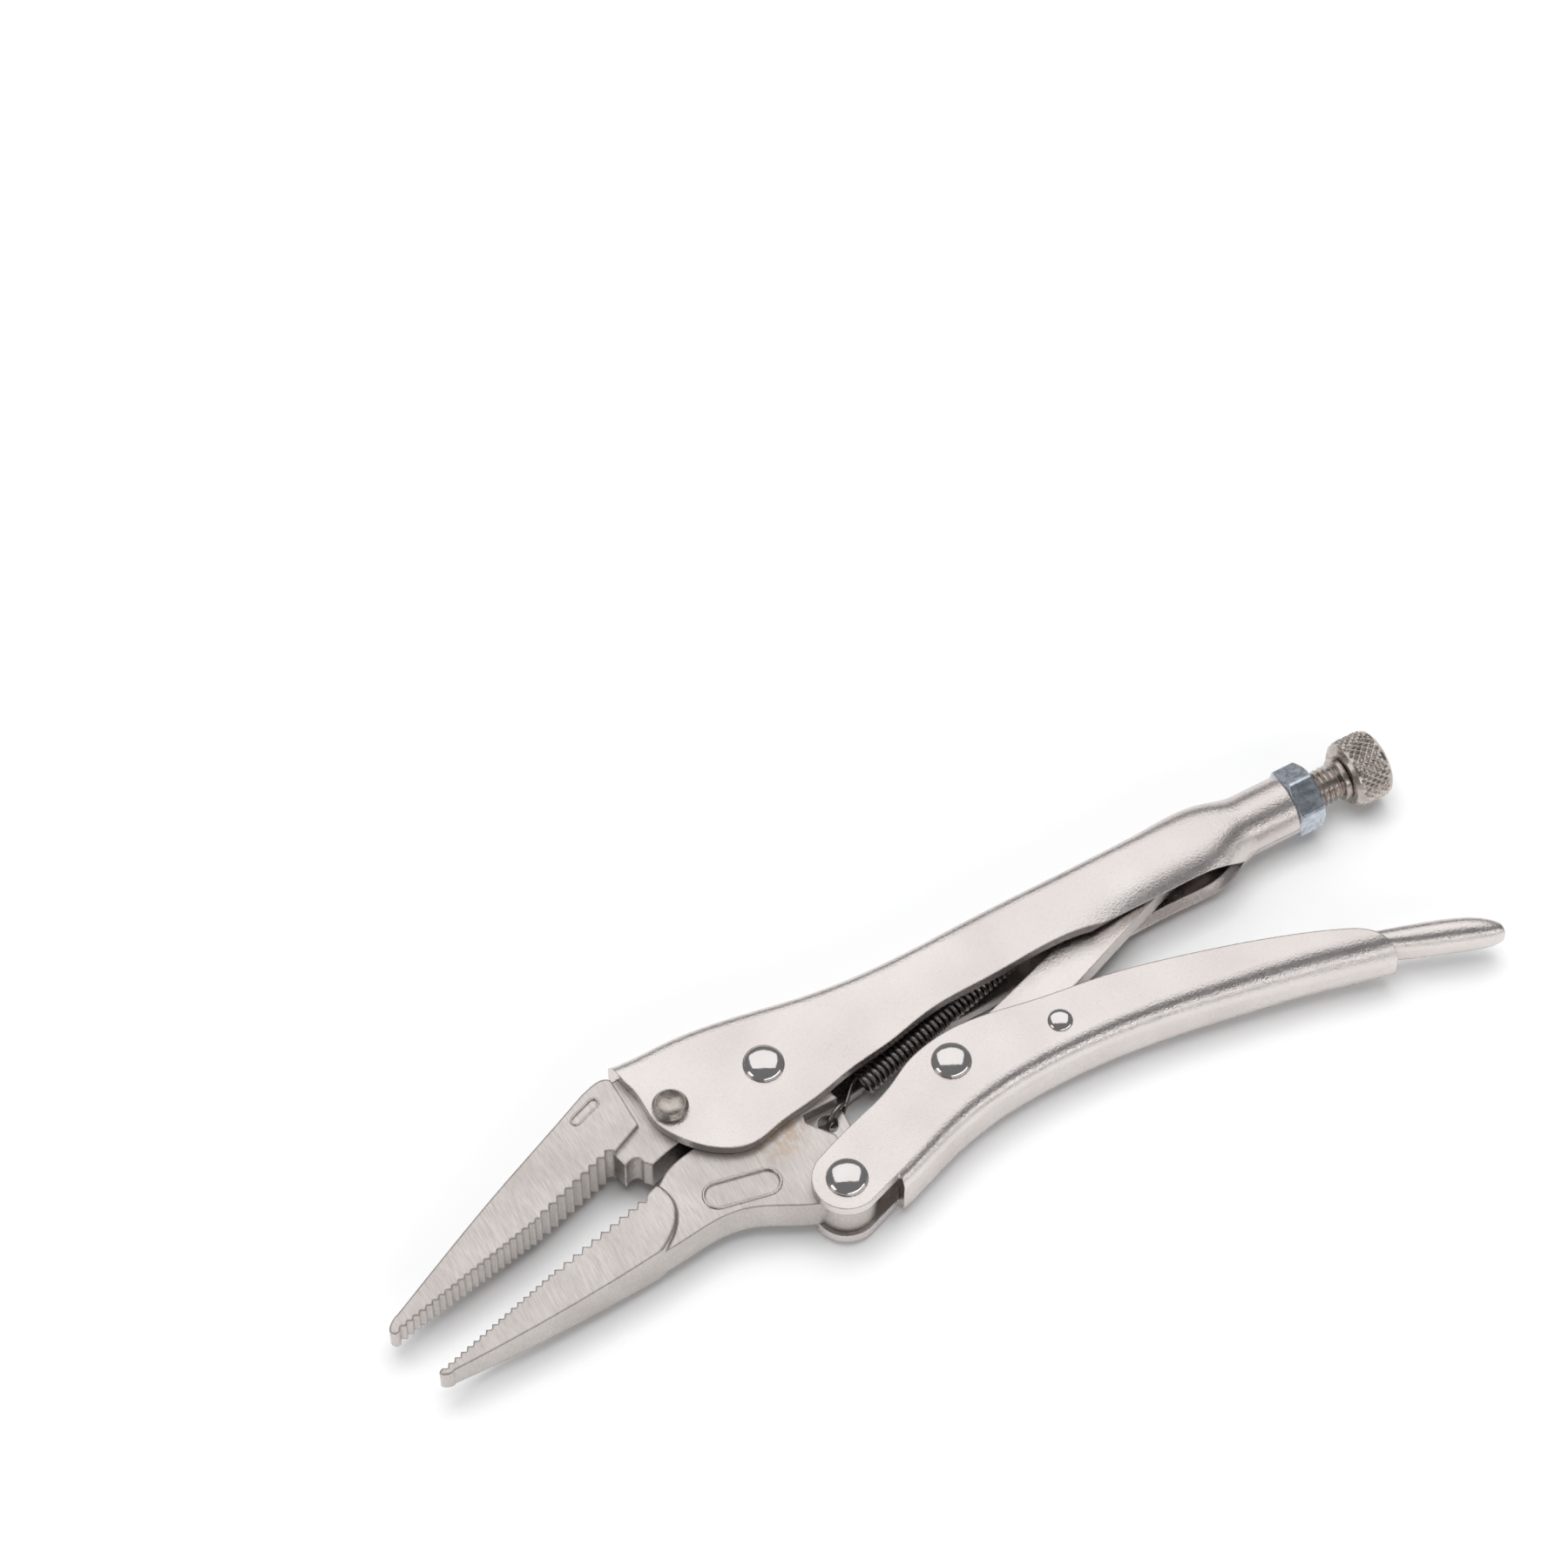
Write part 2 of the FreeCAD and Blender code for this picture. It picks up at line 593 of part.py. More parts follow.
def release_lever():
    """The folded lever in the lower handle: a hump under the toggle link and a rounded tail."""
    body = new_body("release_lever")
    half = size("lever_wide") / 2
    thick = size("lever_sheet")
    spine = [
        (52.5, -18.0),
        (58.0, -17.0),
        (64.0, -15.0),
        (69.5, -13.2),
        (75.0, -15.1),
        (81.0, -18.2),
        (95.0, -22.8),
        (110.0, -27.4),
        (122.0, -31.0),
    ]
    channel(body, 1, [(x, half, y, 3.0, y - 7, 6.0, 0, thick) for x, y in spine])
    trim = sketch_on(body, "XY_Plane")
    pivot = (size("lever_pivot_x"), size("lever_pivot_y"))
    outline(trim, (50, -10), [(53.5, -10)], [arc_point(pivot, 3.6, 180)],
            arc_run(pivot, 3.6, 180, 275),
            [(80.0, -26.0), (95.0, -28.2), (110.0, -31.2), (116.0, -32.8), (122.5, -34.6)],
            [(122.5, -60)], [(50, -60)])
    cut_through(body, trim)
    tail = [
        (122.0, -31.0, -35.6, half, 2.2),
        (128.0, -32.8, -38.4, half, 2.6),
        (134.0, -34.5, -41.0, half, 3.0),
        (142.0, -37.4, -44.0, half, 3.1),
        (146.5, -40.0, -45.3, 0.88 * half, 2.5),
        (149.0, -42.4, -45.3, 0.62 * half, 1.35),
    ]
    rounded_bar(body, tail)
    pivot_hole(body, "lever_pivot")


# ---------------------------------------------------------------- screw, nut and knob


def rod(body, start, length, radius):
    """A round length along the screw's axis."""
    section = sketch_on(body, "YZ_Plane", start)
    circle(section, "sizes.screw_y", "0", radius)
    pad(body, section, length, centred=False)


def adjusting_screw():
    """The M8 screw: shank, shoulder and the stub that carries the knob."""
    body = new_body("adjusting_screw")
    rod(body, "sizes.screw_tip_x", "sizes.boss_x - sizes.screw_tip_x", "sizes.screw_radius")
    rod(body, "sizes.boss_x", "sizes.knob_x - sizes.boss_x - sizes.running_gap", "sizes.boss_radius")
    rod(body, "sizes.boss_x", "sizes.knob_x - sizes.boss_x + sizes.knob_long - 2", "sizes.stub_radius")


def adjusting_knob():
    """The knurled knob, with a blind bore for the screw's stub."""
    body = new_body("adjusting_knob")
    rod(body, "sizes.knob_x", "sizes.knob_long", "sizes.knob_radius")
    bore = sketch_on(body, "YZ_Plane", "sizes.knob_x + sizes.knob_long - 1.5")
    circle(bore, "sizes.screw_y", "0", "sizes.stub_radius + sizes.running_gap")
    cut_one_way(body, bore, "sizes.knob_long")


def lock_nut():
    """The hexagon nut between the neck and the knob, one flat towards +Y."""
    body = new_body("lock_nut")
    hexagon = sketch_on(body, "YZ_Plane", "sizes.nut_x")
    radius = size("nut_flats") / math.sqrt(3)
    corners = [arc_point((size("screw_y"), 0), radius, 30 + 60 * i) for i in range(6)]
    outline(hexagon, corners[0], *[[corner] for corner in corners[1:]])
    pad(body, hexagon, "sizes.nut_high", centred=False)
    bore = sketch_on(body, "YZ_Plane", "sizes.nut_x + sizes.nut_high + 1")
    circle(bore, "sizes.screw_y", "0", "sizes.screw_radius + sizes.running_gap")
    cut_one_way(body, bore, "sizes.nut_high + 2")


# ---------------------------------------------------------------- rivets and spring


def rivet(label, pivot, head, high, dished=False):
    """A rivet through both walls, turned about its own axis, with the same head at each end."""
    body = new_body(label)
    for axis in "xy":
        body.setExpression(f"Placement.Base.{axis}", f"sizes.lie_{axis} + sizes.{pivot}_{axis}")
    shank = size(f"{pivot}_shank")
    wall = size("handle_half")
    if dished:
        top = [[(head, wall)], [(head, wall + 0.5 * high)], [(head - 0.7, wall + high)],
               [(0.5 * head, wall + 0.75 * high), (0, wall + 0.55 * high)]]
    else:
        slope = [math.radians(90 - 15 * i) for i in range(1, 7)]
        top = [[(head, wall)], [(head * math.sin(a), wall + high * math.cos(a)) for a in slope]]
    half_section = sketch_on(body, "XZ_Plane")
    outline(half_section, (0, 0), [(shank, 0)], [(shank, wall)], *top)
    turned = body.newObject("PartDesign::Revolution", "turned")
    turned.Profile = half_section
    turned.ReferenceAxis = (half_section, ["V_Axis"])
    turned.Angle = 360
    doc.recompute()
    other_end = body.newObject("PartDesign::Mirrored", "other_end")
    other_end.Originals = [turned]
    base = next(o for o in body.Origin.OriginFeatures if o.Role == "XY_Plane")
    other_end.MirrorPlane = (base, [""])
    body.Tip = other_end
    doc.recompute()
    if abs(body.Shape.BoundBox.ZLength - 2 * (wall + high)) > 0.05:
        raise RuntimeError(f"{label}: one head is missing")


def wire(points, radius):
    """Round wire along straight runs, with a ball at each bend."""
    shape = Part.makeSphere(radius, points[0])
    for start, end in zip(points, points[1:]):
        run = end - start
        shape = shape.fuse([Part.makeCylinder(radius, run.Length, start, run), Part.makeSphere(radius, end)])
    return shape


def tension_spring():
    """The coil as a plain tube, with a ring through the jaw's tab and a hook in the handle's tab."""
    thin = size("wire_radius")
    tilt = math.radians(size("coil_tilt"))
    along = Vector(math.cos(tilt), math.sin(tilt), 0)
    start = Vector(size("coil_start_x"), size("coil_start_y"), 0)
    end = start + along * size("coil_long")
    coil = Part.makeCylinder(size("coil_radius"), size("coil_long"), start, along)
    coil = coil.cut(Part.makeCylinder(size("coil_radius") - 2 * thin, size("coil_long"), start, along))
    eye = Vector(size("tab_hole_x"), size("tab_hole_y"), 0)
    towards = (start - eye).normalize()
    ring_radius = 3.0
    centre = eye + towards * ring_radius
    normal = Vector(-towards.y, towards.x, 0)
    ring = Part.makeTorus(ring_radius, thin, centre, normal)
    across = Vector(-along.y, along.x, 0)
    rim = across * (size("coil_radius") - thin)
    front = wire([centre + towards * ring_radius, start + rim + along * 0.6], thin)
    hook_y = size("hook_eye_y")
    far = size("hook_tab_x") + 3.2
    rear = wire([end + rim - along * 0.6, Vector(far - 5.4, hook_y, 0), Vector(far, hook_y, 0),
                 Vector(far, hook_y + 2.0, 0)], thin)
    spring = doc.addObject("Part::Feature", "tension_spring")
    spring.Label = "tension_spring"
    spring.Shape = coil.fuse([ring, front, rear])
    for axis in "xyz":
        spring.setExpression(f"Placement.Base.{axis}", f"sizes.lie_{axis}")


# ---------------------------------------------------------------- build, check, write

fixed_handle()
lower_handle()
fixed_jaw()
movable_jaw()
toggle_link()
release_lever()
adjusting_screw()
adjusting_knob()
lock_nut()
rivet("jaw_pivot_rivet", "jaw_pivot", size("big_head"), size("head_high"))
rivet("fixed_jaw_pin", "fixed_pin", size("pin_head"), size("head_high"), dished=True)
rivet("handle_pivot_rivet", "handle_pivot", size("big_head"), size("head_high"))
rivet("link_rivet", "link_pivot", size("link_head"), size("head_high"))
rivet("release_lever_rivet", "lever_pivot", size("lever_head"), size("lever_head_high"))
tension_spring()
doc.recompute()

failed = [item.Label for item in doc.Objects if {"Invalid", "Error"} & set(item.State)]
if failed:
    raise RuntimeError(f"objects that did not build: {failed}")
sub_parts = [item for item in doc.Objects if item.TypeId in ("PartDesign::Body", "Part::Feature")
             and item.getParentGeoFeatureGroup() is None]
whole = FreeCAD.BoundBox()
for item in sub_parts:
    shape = item.Shape
    if shape.isNull() or not shape.isValid() or len(shape.Solids) != 1:
        raise RuntimeError(f"{item.Label}: {len(shape.Solids)} solids, valid {shape.isValid()}")
    whole.add(shape.BoundBox)
    print(f"{item.Label}: {shape.Volume:.0f} mm3")
print(f"box {whole}")
os.makedirs("parts", exist_ok=True)
for item in sub_parts:
    item.Shape.exportStep(f"parts/{item.Label}.step")
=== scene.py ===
import json
import math

import bmesh
import bpy
from mathutils import Matrix, Vector


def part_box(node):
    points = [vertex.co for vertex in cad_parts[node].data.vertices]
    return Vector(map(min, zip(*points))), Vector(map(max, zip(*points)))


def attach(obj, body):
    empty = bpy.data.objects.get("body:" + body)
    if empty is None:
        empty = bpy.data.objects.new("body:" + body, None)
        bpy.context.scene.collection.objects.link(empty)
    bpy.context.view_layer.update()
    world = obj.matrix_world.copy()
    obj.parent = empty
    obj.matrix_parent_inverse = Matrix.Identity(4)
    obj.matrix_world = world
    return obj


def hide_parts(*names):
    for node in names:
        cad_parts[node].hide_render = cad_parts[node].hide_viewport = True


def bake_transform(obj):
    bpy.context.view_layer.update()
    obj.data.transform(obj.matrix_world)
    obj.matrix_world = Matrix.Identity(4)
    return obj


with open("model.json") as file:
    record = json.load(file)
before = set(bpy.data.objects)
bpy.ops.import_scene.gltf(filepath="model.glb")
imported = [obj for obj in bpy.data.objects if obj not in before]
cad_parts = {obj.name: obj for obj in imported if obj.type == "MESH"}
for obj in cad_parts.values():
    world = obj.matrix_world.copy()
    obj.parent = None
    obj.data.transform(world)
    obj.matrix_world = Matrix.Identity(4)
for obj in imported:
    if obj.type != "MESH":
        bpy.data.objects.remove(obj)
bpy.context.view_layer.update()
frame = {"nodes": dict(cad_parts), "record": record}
nodes = frame["nodes"]

MM = 0.001


def node_centre(name):
    """The middle of a CAD node's box."""
    low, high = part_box(name)
    return (Vector(low) + Vector(high)) / 2


def joint_place(name):
    """Where the record puts a joint."""
    joints = frame["record"]["behaviour"]["joints"]
    return Vector(next(joint for joint in joints if joint["name"] == name)["pos_m"])


def mid_pivot():
    """The main pivot on the tool's mid-plane, which the design sizes are measured from."""
    place = joint_place("jaw_pivot")
    place.z = node_centre("fixed_handle").z
    return place


# ---------------------------------------------------------------- shader helpers


class Shader:
    """A node material with a few short ways to wire it. Its textures are laid out in object metres."""

    def __init__(self, name):
        self.material = bpy.data.materials.new(name)
        self.material.use_nodes = True
        self.tree = self.material.node_tree
        self.surface = self.tree.nodes["Principled BSDF"]
        self.place = self.tree.nodes.new("ShaderNodeTexCoord").outputs["Object"]

    def node(self, kind, inputs=None, **settings):
        """Adds a node, with its settings, and fills its inputs."""
        made = self.tree.nodes.new(kind)
        for key, value in settings.items():
            setattr(made, key, value)
        for key, value in (inputs or {}).items():
            self.set(made.inputs[key], value)
        return made

    def set(self, socket, value):
        """Links a socket to another one, or gives it a plain value."""
        if isinstance(value, bpy.types.NodeSocket):
            self.tree.links.new(value, socket)
        else:
            socket.default_value = value

    def noise(self, scale, detail, roughness=0.5, stretch=(1, 1, 1), turn=(0, 0, 0)):
        """Noise with about scale cells to the metre, stretched and turned as a whole."""
        mapped = self.node("ShaderNodeMapping", {"Vector": self.place, "Scale": stretch, "Rotation": turn})
        texture = self.node(
            "ShaderNodeTexNoise",
            {"Vector": mapped.outputs[0], "Scale": scale, "Detail": detail, "Roughness": roughness},
        )
        return texture.outputs["Fac"]

    def remap(self, value, low, high, to_low, to_high):
        """A value between low and high becomes one between to_low and to_high."""
        inputs = {"Value": value, "From Min": low, "From Max": high, "To Min": to_low, "To Max": to_high}
        return self.node("ShaderNodeMapRange", inputs).outputs[0]

    def distance(self, point):
        """How far the surface is from a point."""
        measure = self.node("ShaderNodeVectorMath", {0: self.place, 1: point}, operation="DISTANCE")
        return measure.outputs["Value"]

    def product(self, first, second):
        return self.node("ShaderNodeMath", {0: first, 1: second}, operation="MULTIPLY").outputs[0]

    def mix(self, amount, first, second):
        """A blend of two colours. A mix node's colour sockets are its seventh and eighth inputs."""
        mixer = self.node("ShaderNodeMix", {0: amount, 6: first, 7: second}, data_type="RGBA")
        return mixer.outputs[2]

    def bump(self, height, distance, strength, normal=None):
        """Relief from a height map, over the plain surface or over another relief."""
        inputs = {"Height": height, "Distance": distance, "Strength": strength}
        if normal is not None:
            inputs["Normal"] = normal
        return self.node("ShaderNodeBump", inputs).outputs[0]

    def edge(self, radius):
        """A normal that rounds sharp edges to the given radius."""
        return self.node("ShaderNodeBevel", {"Radius": radius}, samples=6).outputs[0]

    def finish(self, **sockets):
        """Fills the surface's inputs, named with _ for each space, and gives the material."""
        for key, value in sockets.items():
            self.set(self.surface.inputs[key.replace("_", " ")], value)
        return self.material


def satin_nickel():
    """Nickel over pressed steel: warm, with a fine pebbled grain under the plate."""
    look = Shader("satin_nickel")
    cloud = look.noise(60, 4)
    colour = look.mix(look.remap(cloud, 0.35, 0.65, 0, 1), (0.68, 0.625, 0.60, 1), (0.75, 0.70, 0.675, 1))
    pebble = look.noise(2300, 2, 0.6)
    fine = look.noise(6500, 2, 0.6)
    normal = look.bump(pebble, 0.00015, 0.6, look.edge(0.00045))
    normal = look.bump(fine, 0.00004, 0.5, normal)
    rough = look.remap(look.noise(240, 4), 0.3, 0.7, 0.24, 0.30)
    return look.finish(Base_Color=colour, Metallic=1.0, Roughness=rough, Normal=normal)


def ground_nickel():
    """Ground steel under nickel: fine slanting lines, and a brown stain below the main pivot."""
    look = Shader("ground_nickel")
    cloud = look.noise(90, 4)
    colour = look.mix(look.remap(cloud, 0.35, 0.65, 0, 1), (0.56, 0.515, 0.49, 1), (0.65, 0.605, 0.58, 1))
    stain_place = mid_pivot() + Vector((-5.0, -13.5, 4.3)) * MM
    stain = look.remap(look.distance(stain_place), 0.002, 0.008, 0.75, 0)
    patchy = look.remap(look.noise(500, 4), 0.4, 0.6, 0, 1)
    colour = look.mix(look.product(stain, patchy), colour, (0.42, 0.27, 0.14, 1))
    slant = (0, 0, math.radians(-18))
    lines = look.noise(900, 3, 0.65, stretch=(5.0, 0.30, 1.0), turn=slant)
    colour = look.mix(look.remap(lines, 0.42, 0.62, 0, 0.35), colour, (0.40, 0.36, 0.335, 1))
    broad = look.noise(300, 2, 0.5, stretch=(3.0, 0.3, 1.0), turn=slant)
    normal = look.bump(lines, 0.00008, 0.6, look.edge(0.0007))
    normal = look.bump(broad, 0.00012, 0.3, normal)
    rough = look.remap(lines, 0.3, 0.7, 0.26, 0.40)
    return look.finish(Base_Color=colour, Metallic=1.0, Roughness=rough, Normal=normal)


def polished_nickel():
    """The upset rivet heads, nearly a mirror."""
    look = Shader("polished_nickel")
    colour = look.mix(look.noise(300, 3), (0.66, 0.62, 0.60, 1), (0.74, 0.71, 0.69, 1))
    normal = look.bump(look.noise(700, 2), 0.00008, 0.35, look.edge(0.0003))
    rough = look.remap(look.noise(1200, 3), 0.3, 0.7, 0.06, 0.15)
    return look.finish(Base_Color=colour, Metallic=1.0, Roughness=rough, Normal=normal)


def bright_zinc():
    """Bluish zinc with a mottled flat."""
    look = Shader("bright_zinc")
    mottle = look.noise(700, 5, 0.65)
    colour = look.mix(look.remap(mottle, 0.35, 0.65, 0, 1), (0.40, 0.44, 0.50, 1), (0.66, 0.70, 0.76, 1))
    normal = look.bump(look.noise(1800, 3), 0.00010, 0.35, look.edge(0.0002))
    rough = look.remap(mottle, 0.3, 0.7, 0.20, 0.38)
    return look.finish(Base_Color=colour, Metallic=1.0, Roughness=rough, Normal=normal)


def oiled_wire():
    """Dark drawn spring wire with a thin film of oil."""
    look = Shader("oiled_wire")
    colour = look.mix(look.noise(500, 4), (0.30, 0.27, 0.25, 1), (0.50, 0.465, 0.44, 1))
    normal = look.bump(look.noise(3000, 2), 0.00004, 0.4)
    rough = look.remap(look.noise(900, 3), 0.3, 0.7, 0.22, 0.40)
    return look.finish(Base_Color=colour, Metallic=1.0, Roughness=rough, Normal=normal)


def thread_nickel():
    """The screw and knob: the same nickel, duller and browner, in a patchy cloud."""
    look = Shader("thread_nickel")
    cloud = look.noise(400, 5, 0.6)
    colour = look.mix(look.remap(cloud, 0.35, 0.65, 0, 1), (0.40, 0.35, 0.31, 1), (0.64, 0.58, 0.54, 1))
    normal = look.bump(look.noise(2600, 3), 0.00008, 0.4, look.edge(0.00015))
    rough = look.remap(cloud, 0.3, 0.7, 0.18, 0.36)
    return look.finish(Base_Color=colour, Metallic=1.0, Roughness=rough, Normal=normal)


def pale_floor():
    """A matt light grey, barely uneven."""
    look = Shader("pale_floor")
    colour = look.mix(look.noise(3, 2), (0.80, 0.80, 0.80, 1), (0.84, 0.84, 0.84, 1))
    return look.finish(Base_Color=colour, Roughness=0.7)


# ---------------------------------------------------------------- mesh helpers


def add_piece(name, bm, material, body, cad_nodes, smooth_angle=35):
    """A finished mesh that stands for the CAD nodes given, if any, and rides on the body given, if any."""
    bmesh.ops.recalc_face_normals(bm, faces=bm.faces)
    mesh = bpy.data.meshes.new(name)
    bm.to_mesh(mesh)
    bm.free()
    piece = bpy.data.objects.new(name, mesh)
    bpy.context.scene.collection.objects.link(piece)
    mesh.materials.append(material)
    mesh.shade_smooth()
    mesh.set_sharp_from_angle(angle=math.radians(smooth_angle))
    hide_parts(*cad_nodes)
    if body:
        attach(piece, body)
    return piece


def join_loops(bm, first, second):
    """A band of faces between two loops of as many vertices."""
    for i in range(len(first)):
        j = (i + 1) % len(first)
        bm.faces.new((first[i], first[j], second[j], second[i]))


def lathe(rings, axis, around, capped=True):
    """A skin about a line along X, from rings of (x, radius).

    A radius may be a function of the angle, and an x a function of the radius there.
    """
    bm = bmesh.new()
    loops = []
    for x, radius in rings:
        loop = []
        for i in range(around):
            angle = 2 * math.pi * i / around
            r = radius(angle) if callable(radius) else radius
            at = x(r) if callable(x) else x
            loop.append(bm.verts.new((at, axis.y + r * math.cos(angle), axis.z + r * math.sin(angle))))
        loops.append(loop)
    for first, second in zip(loops, loops[1:]):
        join_loops(bm, first, second)
    if capped:
        bm.faces.new(loops[0])
        bm.faces.new(loops[-1])
    return bm


def tube(path, radius, sides=10):
    """Round wire along a path, closed at both ends, its section carried along without twist."""
    bm = bmesh.new()
    up = Vector((0, 0, 1))
    rings = []
    for i, point in enumerate(path):
        ahead = path[min(i + 1, len(path) - 1)] - path[max(i - 1, 0)]
        ahead.normalize()
        side = up - ahead * up.dot(ahead)
        if side.length < 1e-3:
            side = ahead.orthogonal()
        side.normalize()
        up = side
        other = ahead.cross(side)
        ring = []
        for k in range(sides):
            angle = 2 * math.pi * k / sides
            ring.append(bm.verts.new(point + radius * (side * math.cos(angle) + other * math.sin(angle))))
        rings.append(ring)
    for first, second in zip(rings, rings[1:]):
        join_loops(bm, first, second)
    bm.faces.new(rings[0])
    bm.faces.new(rings[-1])
    return bm


def ring_tube(path, radius, sides=10):
    """Round bead along a closed path in a level plane."""
    bm = bmesh.new()
    up = Vector((0, 0, 1))
    rings = []
    for i, point in enumerate(path):
        ahead = (path[(i + 1) % len(path)] - path[i - 1]).normalized()
        side = up.cross(ahead)
        ring = []
        for k in range(sides):
            angle = 2 * math.pi * k / sides
            ring.append(bm.verts.new(point + radius * (side * math.cos(angle) + up * math.sin(angle))))
        rings.append(ring)
    for i, ring in enumerate(rings):
        join_loops(bm, ring, rings[(i + 1) % len(rings)])
    return bm


# ---------------------------------------------------------------- pieces made here


def threaded_screw(material):
    """M8 x 1.25 with a real helix, its shoulder and the stub inside the knob."""
    low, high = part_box("adjusting_screw")
    knob_low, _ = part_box("adjusting_knob")
    pitch = 1.25 * MM
    crest = 3.98 * MM
    depth = 0.68 * MM
    crest_half = 0.07  # half the crest's width, in pitches
    flank_wide = 0.30  # in pitches
    run_in = 0.8 * pitch
    run_out = 0.6 * pitch
    last_height = 0.15  # share of the thread's height that is left at the shoulder
    shoulder = (high[1] - low[1]) / 2
    shoulder_long = 1.55 * MM
    chamfer = 0.25 * MM
    stub = 2.5 * MM
    start = low[0] + 0.02 * MM
    thread_end = knob_low[0] - shoulder_long
    thread_long = thread_end - start
    rings_per_pitch = 10
    steps = int(thread_long / pitch * rings_per_pitch)

    def thread(x):
        fade = min(1.0, (x - start) / run_in, max(last_height, (thread_end - x) / run_out))

        def radius(angle):
            turn = (x / pitch - angle / (2 * math.pi)) % 1.0
            flank = min(max((abs(turn - 0.5) - crest_half) / flank_wide, 0.0), 1.0)
            return crest - depth * (flank if fade >= 1 else 1 - (1 - flank) * max(fade, 0.0))

        return radius

    rings = [(start, 0.6 * crest)]
    for i in range(1, steps + 1):
        x = start + thread_long * i / steps
        rings.append((x, thread(x)))
    knob_side = knob_low[0] - 0.06 * MM
    rings += [
        (thread_end, shoulder - chamfer),
        (thread_end + chamfer, shoulder),
        (knob_side - chamfer, shoulder),
        (knob_side, shoulder - chamfer),
        (knob_side, stub),
        (high[0], stub),
    ]
    bm = lathe(rings, node_centre("adjusting_knob"), around=64)
    add_piece("screw_thread", bm, material, "screw", ["adjusting_screw"], 30)


def knurled_knob(material):
    """A diamond knurl between two chamfers, slightly domed at its end, on a bore for the screw's stub."""
    low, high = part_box("adjusting_knob")
    outer = (high[1] - low[1]) / 2
    depth = 0.5 * MM
    root = outer - depth
    count = 28
    slope = count / outer  # ridges at 45 degrees to the axis
    chamfer = 0.9 * MM
    face = root - 0.9 * chamfer
    bore = 2.6 * MM
    bore_floor = high[0] - 1.6 * MM
    knurl_rings = 46

    def wave(value):
        """A triangle wave between 0 and 1, one to the turn."""
        return abs((value / (2 * math.pi)) % 1.0 - 0.5) * 2

    def knurl(x, fade):
        def radius(angle):
            first = wave(count * angle + slope * x)
            second = wave(count * angle - slope * x)
            return outer - depth * fade * max(first, second) - depth * (1 - fade)

        return radius

    start = low[0] + chamfer
    end = high[0] - chamfer
    rings = [(bore_floor, bore), (low[0], bore), (low[0], face), (start - 0.15 * MM, root)]
    for i in range(knurl_rings + 1):
        share = i / knurl_rings
        fade = min(1.0, 8 * share, 8 * (1 - share))
        x = start + (end - start) * share
        rings.append((x, knurl(x, fade)))
    rings += [
        (end + 0.15 * MM, root),
        (high[0] - 0.12 * MM, face),
        (high[0] - 0.06 * MM, 0.7 * face),
        (high[0] - 0.02 * MM, 0.35 * face),
        (high[0], 0.1 * face),
    ]
    bm = lathe(rings, node_centre("adjusting_knob"), around=count * 8)
    add_piece("knob_knurl", bm, material, "knob", ["adjusting_knob"], 28)


def chamfered_nut(material):
    """A hexagon nut, chamfered on both faces, with its thread's countersinks."""
    low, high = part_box("lock_nut")
    flat = 13.0 * MM / 2
    corner = 7.36 * MM
    face = 0.96 * flat
    slope = math.tan(math.radians(30))
    bore = 4.05 * MM
    sink = 0.5 * MM
    round_off = 0.12 * MM
    lead = 0.3 * round_off

    def hexagon(inset):
        def radius(angle):
            off = (angle + math.radians(30)) % math.radians(60) - math.radians(30)
            return min((flat - inset) / math.cos(off), corner - inset)

        return radius

    def near(r):
        return low[0] + max(0.0, (r - face) * slope) + lead

    def far(r):
        return high[0] - max(0.0, (r - face) * slope) - lead

    rings = [
        (low[0] + sink, bore),
        (low[0], bore + sink),
        (low[0], face),
        (near, hexagon(round_off)),
        (lambda r: near(r) + round_off, hexagon(0.0)),
        (lambda r: far(r) - round_off, hexagon(0.0)),
        (far, hexagon(round_off)),
        (high[0], face),
        (high[0], bore + sink),
        (high[0] - sink, bore),
        (low[0] + sink, bore),
    ]
    bm = lathe(rings, node_centre("lock_nut"), around=144, capped=False)
    bmesh.ops.remove_doubles(bm, verts=bm.verts, dist=1e-7)
    add_piece("nut_hexagon", bm, material, "nut", ["lock_nut"], 22)


